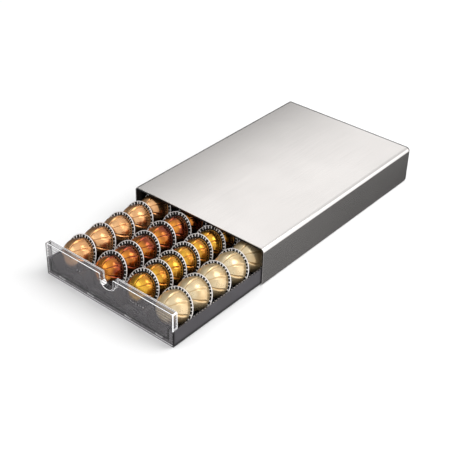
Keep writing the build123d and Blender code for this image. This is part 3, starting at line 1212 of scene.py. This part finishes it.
        def off(place: Vector) -> float:
            """Distance from the lead-in's centre in millimetres."""
            return math.hypot(place.x - centre.x, place.z - centre.z) / MM

        def inward(place: Vector) -> bool:
            """Whether a place is on the notch's side of the centre."""
            return (place.x - centre.x) * side < slack

        bench.pick(
            Domain.POINTS,
            lambda place, _: inner < off(place) < outer
            and inward(place)
            and place.z > centre.z - slack,
        )
        bpy.ops.transform.resize(
            value=(self.lead_in_share, 1, self.lead_in_share),
            center_override=(side * self.notch_half * MM, 0, self.top * MM),
        )
        bpy.ops.transform.translate(value=(-side * self.notch_trim * MM, 0, 0))
        bench.pick(
            Domain.POINTS, lambda place, _: off(place) < self.lead_in_core and inward(place)
        )
        bpy.ops.transform.translate(value=(-side * self.notch_trim * MM, 0, 0))


@dataclass(frozen=True)
class PodStyle:
    """One kind of pod: its column's name, dome, number, lacquer and the dashes' inner radius."""

    name: str
    dome_radius: float
    dome_height: float
    count: int
    lacquer: FoilLacquer
    dash_inner: float


COPPER = FoilLacquer("copper_lacquer", (0.90, 0.52, 0.25), (0.52, 0.23, 0.08))
AMBER = FoilLacquer(
    "amber_lacquer", (0.95, 0.36, 0.045), (0.20, 0.034, 0.010), 0.19, shade_at_foot=0.8
)
GOLD = FoilLacquer("gold_lacquer", (0.97, 0.55, 0.055), (0.40, 0.14, 0.014), 0.2)
CREAM = FoilLacquer("cream_lacquer", (0.77, 0.64, 0.41), (0.54, 0.37, 0.18), 0.28, 0.62)


@dataclass
class Pods:
    """The four columns of pods, each kind modelled once and copied to its seats.

    Sizes are in millimetres, and a pod is modelled with its axis upright and its lid below.
    """

    palette: Palette
    tilt: float = 26.0
    twist: float = 7.0
    seed: int = 7
    rim_radius: float = 30.0
    rim_half: float = 0.8
    steps: int = 180
    lid: Points = ((0.0, -0.35), (9.0, -0.35), (18.0, -0.35), (26.4, -0.35), (27.2, -0.75))
    lid_reach: float = 27.4
    roll: Points = (
        (28.2, -0.80), (29.3, -0.72), (29.9, -0.3), (30.0, 0.1), (29.85, 0.55), (29.4, 0.8),
        (29.0, 0.78),
    )
    roll_reach: float = 28.75
    band_outer: Pair = (28.8, 0.5)
    band_level: float = 0.42
    band_span: Pair = (0.3, 0.62)
    band_gap: float = 0.3
    dome_rings: int = 16
    dome_power: float = 2 / 2.35
    creases: int = 8
    crease_shares: Points = ((4.2, 1.012), (2.2, 0.984), (1.2, 0.966), (0.3, 0.962))
    crease_reach: Pair = (0.2, 1.004)
    crease_foot: float = 1.2
    crease_shade: float = 1.2
    pale_runs: tuple[int, ...] = (1, 2, 2)
    black_runs: tuple[int, ...] = (3, 4, 4, 5)
    styles: tuple[PodStyle, ...] = (
        PodStyle("copper", 24.0, 29.0, 9, COPPER, 25.4),
        PodStyle("amber", 22.6, 24.4, 10, AMBER, 25.2),
        PodStyle("gold", 22.6, 21.4, 12, GOLD, 25.2),
        PodStyle("cream", 25.0, 30.0, 9, CREAM, 25.9),
    )
    black_ink: Finish = Ink("band_black", (0.003, 0.003, 0.003))
    pale_ink: Finish = Ink("band_pale", (0.86, 0.85, 0.84))
    rim_foil: Finish = PlainFoil("rim_foil", (0.94, 0.91, 0.90), 0.34, 0.0001, 0.35)
    lid_foil: Finish = PlainFoil("lid_foil", (0.80, 0.79, 0.77), 0.30, 0.0003)

    def build(self) -> None:
        """Model each kind of pod and copy it to the seats that the frame gives."""
        draw = random.Random(self.seed)
        for style in self.styles:
            pattern = self.model(style)
            for number in range(1, style.count + 1):
                twist = math.radians(draw.uniform(-self.twist, self.twist))
                self.seat(pattern, style.name, number, twist)
            bpy.data.objects.remove(pattern.obj)

    def seat(self, pattern: Bench, kind: str, number: int, twist: float) -> None:
        """Copy a pod to one seat.

        Args:
            pattern: the pod that is copied.
            kind: its column's name.
            number: the seat's number in the column.
            twist: turn about the pod's own axis, in radians.
        """
        node = f"{kind}_pod_{number:02d}"
        low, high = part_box(node)
        lean = math.radians(self.tilt)
        reach, half = self.rim_radius * MM, self.rim_half * MM
        place = Vector((
            (low.x + high.x) / 2,
            high.y - reach * math.sin(lean) - half * math.cos(lean),
            low.z + reach * math.cos(lean) + half * math.sin(lean),
        ))
        copy = pattern.obj.copy()
        copy.data = pattern.obj.data.copy()
        copy.name = f"pod_{kind}_{number:02d}"
        copy.data.name = copy.name
        bpy.context.scene.collection.objects.link(copy)
        copy.data.transform(
            Matrix.Translation(place)
            @ Matrix.Rotation(math.pi / 2 - lean, 4, "X")
            @ Matrix.Rotation(twist, 4, "Z")
        )
        Bench(copy).fit(Body.DRAWER, f"{kind}_foil", node)

    def outline(self, style: PodStyle) -> list[Pair]:
        """Half section of a pod from the middle of its lid to the tip of its dome.

        Args:
            style: the kind of pod.

        Returns:
            Radius and height of each point.
        """
        radius, level = style.dome_radius, self.band_level
        band = [(style.dash_inner, level), (radius + 0.9, level), (radius + 0.35, 0.6)]
        dome = []
        for ring in range(self.dome_rings):
            turn = math.pi / 2 * ring / self.dome_rings
            wide = math.cos(turn) ** self.dome_power
            tall = math.sin(turn) ** self.dome_power
            dome.append((radius * wide, self.rim_half + (style.dome_height - 0.1) * tall))
        tip = (0.0, self.rim_half + (style.dome_height - 0.1))
        return [*self.lid, *self.roll, self.band_outer, *band, *dome, tip]

    def model(self, style: PodStyle) -> Bench:
        """Model one kind of pod, upright at the origin.

        Args:
            style: the kind of pod.

        Returns:
            The bench with the painted pod.
        """
        bench = Bench.lathe(f"pod_{style.name}_pattern", self.outline(style), self.steps)
        step = 2 * math.pi / self.creases
        facet = 2 * math.pi / self.steps
        reach = style.dome_radius * MM

        def on_crease(place: Vector, facets: float) -> bool:
            """Whether a point of the dome lies on a crease.

            Args:
                place: the point.
                facets: half of the crease's width, in facets.

            Returns:
                True on the crease.
            """
            around = (math.atan2(place.y, place.x) - math.pi / 2) / step
            off = abs(around - round(around)) * step / facet
            inner, outer = self.crease_reach
            on_dome = inner * reach < math.hypot(place.x, place.y) < outer * reach
            return off < facets and on_dome and place.z > self.crease_foot * MM

        with bench.edit():
            for facets, share in self.crease_shares:
                bench.pick(Domain.POINTS, lambda place, _: on_crease(place, facets))
                bpy.ops.transform.resize(value=(share, share, 1.0), center_override=(0, 0, 0))
        self.print_band(bench, style)
        # Numbers that place the lacquer's painted shade at the dome's foot and along the creases.
        self.measure(bench, "reach", lambda place: math.hypot(place.x, place.y) / reach)
        self.measure(bench, "crease", lambda place: float(on_crease(place, self.crease_shade)))
        bench.smooth(38.0, flat=False)
        return bench

    def print_band(self, bench: Bench, style: PodStyle) -> None:
        """Coat a pod and part its lid, rim and printed band from the lacquer.

        Args:
            bench: the pod.
            style: its kind.
        """
        foils = self.black_ink, self.pale_ink, self.rim_foil, self.lid_foil
        bench.coat(self.palette, style.lacquer, *foils)
        dashes = self.dash_sectors(style.name)

        def sector(place: Vector) -> int:
            """Number of the facet round the axis that a face lies in."""
            return int((math.atan2(place.y, place.x) % math.tau) / math.tau * self.steps)

        def spread(place: Vector) -> float:
            """Distance from the axis in millimetres."""
            return math.hypot(place.x, place.y) / MM

        def on_band(place: Vector, inner: float) -> bool:
            """Whether a face lies on the band and outside an inner radius."""
            low, high = self.band_span
            return low * MM < place.z < high * MM and inner < spread(place) < self.roll_reach

        with bench.edit():
            bench.paint(
                PodCoat.LID, lambda place, _: place.z < 0 and spread(place) < self.lid_reach
            )
            bench.paint(
                PodCoat.RIM,
                lambda place, _: spread(place) > self.roll_reach
                or (place.z < 0 and spread(place) >= self.lid_reach),
            )
            bench.paint(
                PodCoat.BLACK, lambda place, _: on_band(place, style.dome_radius + self.band_gap)
            )
            bench.paint(
                PodCoat.PALE,
                lambda place, _: on_band(place, style.dash_inner) and sector(place) in dashes,
            )

    @staticmethod
    def measure(bench: Bench, name: str, value: Callable[[Vector], float]) -> None:
        """Store a number at each point for the lacquer to read.

        Args:
            bench: the pod.
            name: the attribute's name.
            value: gives the number for a place.
        """
        mesh = bench.obj.data
        numbers = mesh.attributes.new(name, "FLOAT", "POINT")
        for point, entry in zip(mesh.vertices, numbers.data):
            entry.value = value(point.co)

    def dash_sectors(self, name: str) -> set[int]:
        """Choose the facets of the printed band that are pale, in an uneven rhythm.

        Args:
            name: the kind of pod, which gives the rhythm its own seed.

        Returns:
            Numbers of the pale facets.
        """
        draw = random.Random(name)
        sectors = set()
        sector = 0
        while sector < self.steps - max(self.pale_runs) - 1:
            pale = draw.choice(self.pale_runs)
            sectors.update(range(sector, sector + pale))
            sector += pale + draw.choice(self.black_runs)
        return sectors


# ---------------------------------------------------------------- studio
@dataclass(frozen=True)
class Sky:
    """The soft surround: dark below, pale above and brighter where the steel mirrors it.

    A level is how much light a part of the sky adds or takes away, a heading is a unit
    vector, and a fade is where that part starts and ends.
    """

    name: str = "studio_world"
    slope: Pair = (0.68, 0.73)
    tent_fade: Pair = (-0.04, 0.03)
    tent_level: float = 0.78
    dip_fade: Pair = (0.02, 0.13)
    dip_level: float = 0.26
    crown_fade: Pair = (0.35, 0.7)
    crown_level: float = 0.30
    steel_heading: Triple = (-0.49, 0.68, 0.54)
    steel_fade: Pair = (0.25, 0.75)
    steel_level: float = 0.76
    side_heading: Triple = (0.72, 0.68, 0.05)
    side_fade: Pair = (0.25, 0.8)
    side_level: float = 1.1
    seam_place: float = -0.31
    seam_fade: Pair = (0.0002, 0.0016)
    seam_level: float = 0.6
    ground_level: float = 0.068
    front_fade: Pair = (0.60, 0.80)
    front_level: float = 0.115
    ahead_fade: Pair = (0.0, 0.4)
    below_fade: Pair = (-0.2, 0.0)
    ahead_level: float = 0.6

    def make(self) -> bpy.types.World:
        """Wire the surround.

        Returns:
            Its world.
        """
        world = bpy.data.worlds.new(self.name)
        world.use_nodes = True
        board = Board(world.node_tree)
        heading = board.node("ShaderNodeTexCoord").outputs["Generated"]
        x, y, z = board.axes(heading)
        slope = x * self.slope[0] + z * self.slope[1]
        dip = slope.over(*self.dip_fade) * self.dip_level
        crown = slope.over(*self.crown_fade) * self.crown_level
        tent = slope.over(*self.tent_fade) * (1.0 - dip + crown)
        steel = 1.0 - self.away(board, heading, self.steel_heading).over(*self.steel_fade)
        side = 1.0 - self.away(board, heading, self.side_heading).over(*self.side_fade)
        glow = steel * self.steel_level + side * self.side_level + self.tent_level
        off = x - self.seam_place
        seam = 1.0 - (1.0 - (off * off).over(*self.seam_fade)) * self.seam_level
        front = (1.0 - y.over(*self.front_fade)) * self.front_level + self.ground_level
        ahead = (1.0 - y.over(*self.ahead_fade)) * (1.0 - z.over(*self.below_fade))
        level = tent * glow * seam + front + ahead * self.ahead_level
        light = board.node("ShaderNodeBackground", feeds={"Color": (1.0,) * 3, "Strength": level})
        board.node("ShaderNodeOutputWorld", feeds={0: light.outputs[0]})
        return world

    @staticmethod
    def away(board: Board, heading: bpy.types.NodeSocket, other: Triple) -> Signal:
        """How far a sky direction is from another.

        Args:
            board: the sky's board.
            heading: the direction of each point of the sky.
            other: a unit vector.

        Returns:
            The chord between the two.
        """
        gap = board.node(
            "ShaderNodeVectorMath", {"operation": "DISTANCE"}, {0: heading, 1: other}
        )
        return Signal(board, gap.outputs["Value"])


@dataclass
class Studio:
    """Floor, light and camera; angles in radians and lengths in metres unless named in pixels."""

    palette: Palette
    surround: Sky = Sky()
    paper: Finish = StudioPaper()
    floor_size: float = 14.0
    floor_height: float = -0.0003
    azimuth: float = 0.68343
    elevation: float = 0.59811
    roll: float = 0.02873
    target: Triple = (-0.29678, 0.23316, -0.31166)
    distance: float = 2.17515
    focal_px: float = 1006.28
    centre_px: Pair = (225.823, 227.795)
    frame_px: float = 450.0
    sensor_mm: float = 36.0
    clip: Pair = (0.05, 30.0)

    def build(self) -> None:
        """Set up the studio."""
        bpy.context.scene.view_settings.view_transform = "Standard"
        self.floor()
        bpy.context.scene.world = self.surround.make()
        self.lamp("key_softbox", (0.9, 0.5, 1.5), (0.0, -0.15, 0.0), 1.1, 14.0)
        self.lamp("front_softbox", (-0.7, -1.5, 1.3), (0.0, -0.3, 0.0), 1.0, 3.0)
        self.camera()

    def floor(self) -> None:
        """Lay the pale floor just under the feet."""
        Bench.clear()
        bpy.ops.mesh.primitive_plane_add(size=self.floor_size, location=(0, 0, self.floor_height))
        floor = bpy.context.object
        floor.name = "studio_floor"
        floor.data.materials.append(self.palette.get(self.paper))
        floor.visible_glossy = False

    def lamp(self, name: str, place: Triple, aim: Triple, size: float, power: float) -> None:
        """Hang one square softbox.

        Args:
            name: its name.
            place: where it hangs, in metres.
            aim: what it points at.
            size: its side in metres.
            power: watts.
        """
        light = bpy.data.lights.new(name, "AREA")
        light.shape = "SQUARE"
        light.size = size
        light.energy = power
        lamp = bpy.data.objects.new(name, light)
        bpy.context.scene.collection.objects.link(lamp)
        lamp.location = place
        lamp.rotation_euler = (Vector(aim) - Vector(place)).to_track_quat("-Z", "Y").to_euler()

    def camera(self) -> None:
        """Place the camera that the photograph was taken with."""
        side, rise = self.azimuth, self.elevation
        flat = math.cos(rise)
        back = Vector((math.sin(side) * flat, -math.cos(side) * flat, math.sin(rise)))
        right = Vector((0, 0, 1)).cross(back).normalized()
        up = back.cross(right)
        across = math.cos(self.roll) * right + math.sin(self.roll) * up
        upright = math.cos(self.roll) * up - math.sin(self.roll) * right
        data = bpy.data.cameras.new("camera")
        data.sensor_width = self.sensor_mm
        data.lens = self.focal_px / self.frame_px * self.sensor_mm
        data.shift_x = (self.frame_px / 2 - self.centre_px[0]) / self.frame_px
        data.shift_y = (self.centre_px[1] - self.frame_px / 2) / self.frame_px
        data.clip_start, data.clip_end = self.clip
        camera = bpy.data.objects.new("camera", data)
        bpy.context.scene.collection.objects.link(camera)
        place = Vector(self.target) + back * self.distance
        turned = Matrix((across, upright, back)).transposed().to_4x4()
        camera.matrix_world = Matrix.Translation(place) @ turned
        bpy.context.scene.camera = camera


def main() -> None:
    logging.basicConfig(level=logging.INFO, format="%(message)s")
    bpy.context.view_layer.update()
    palette = Palette()
    Housing(palette).build()
    Tray(palette).build()
    Pods(palette).build()
    FrontPanel(palette).build()
    Studio(palette).build()


if __name__ == "__main__":
    main()
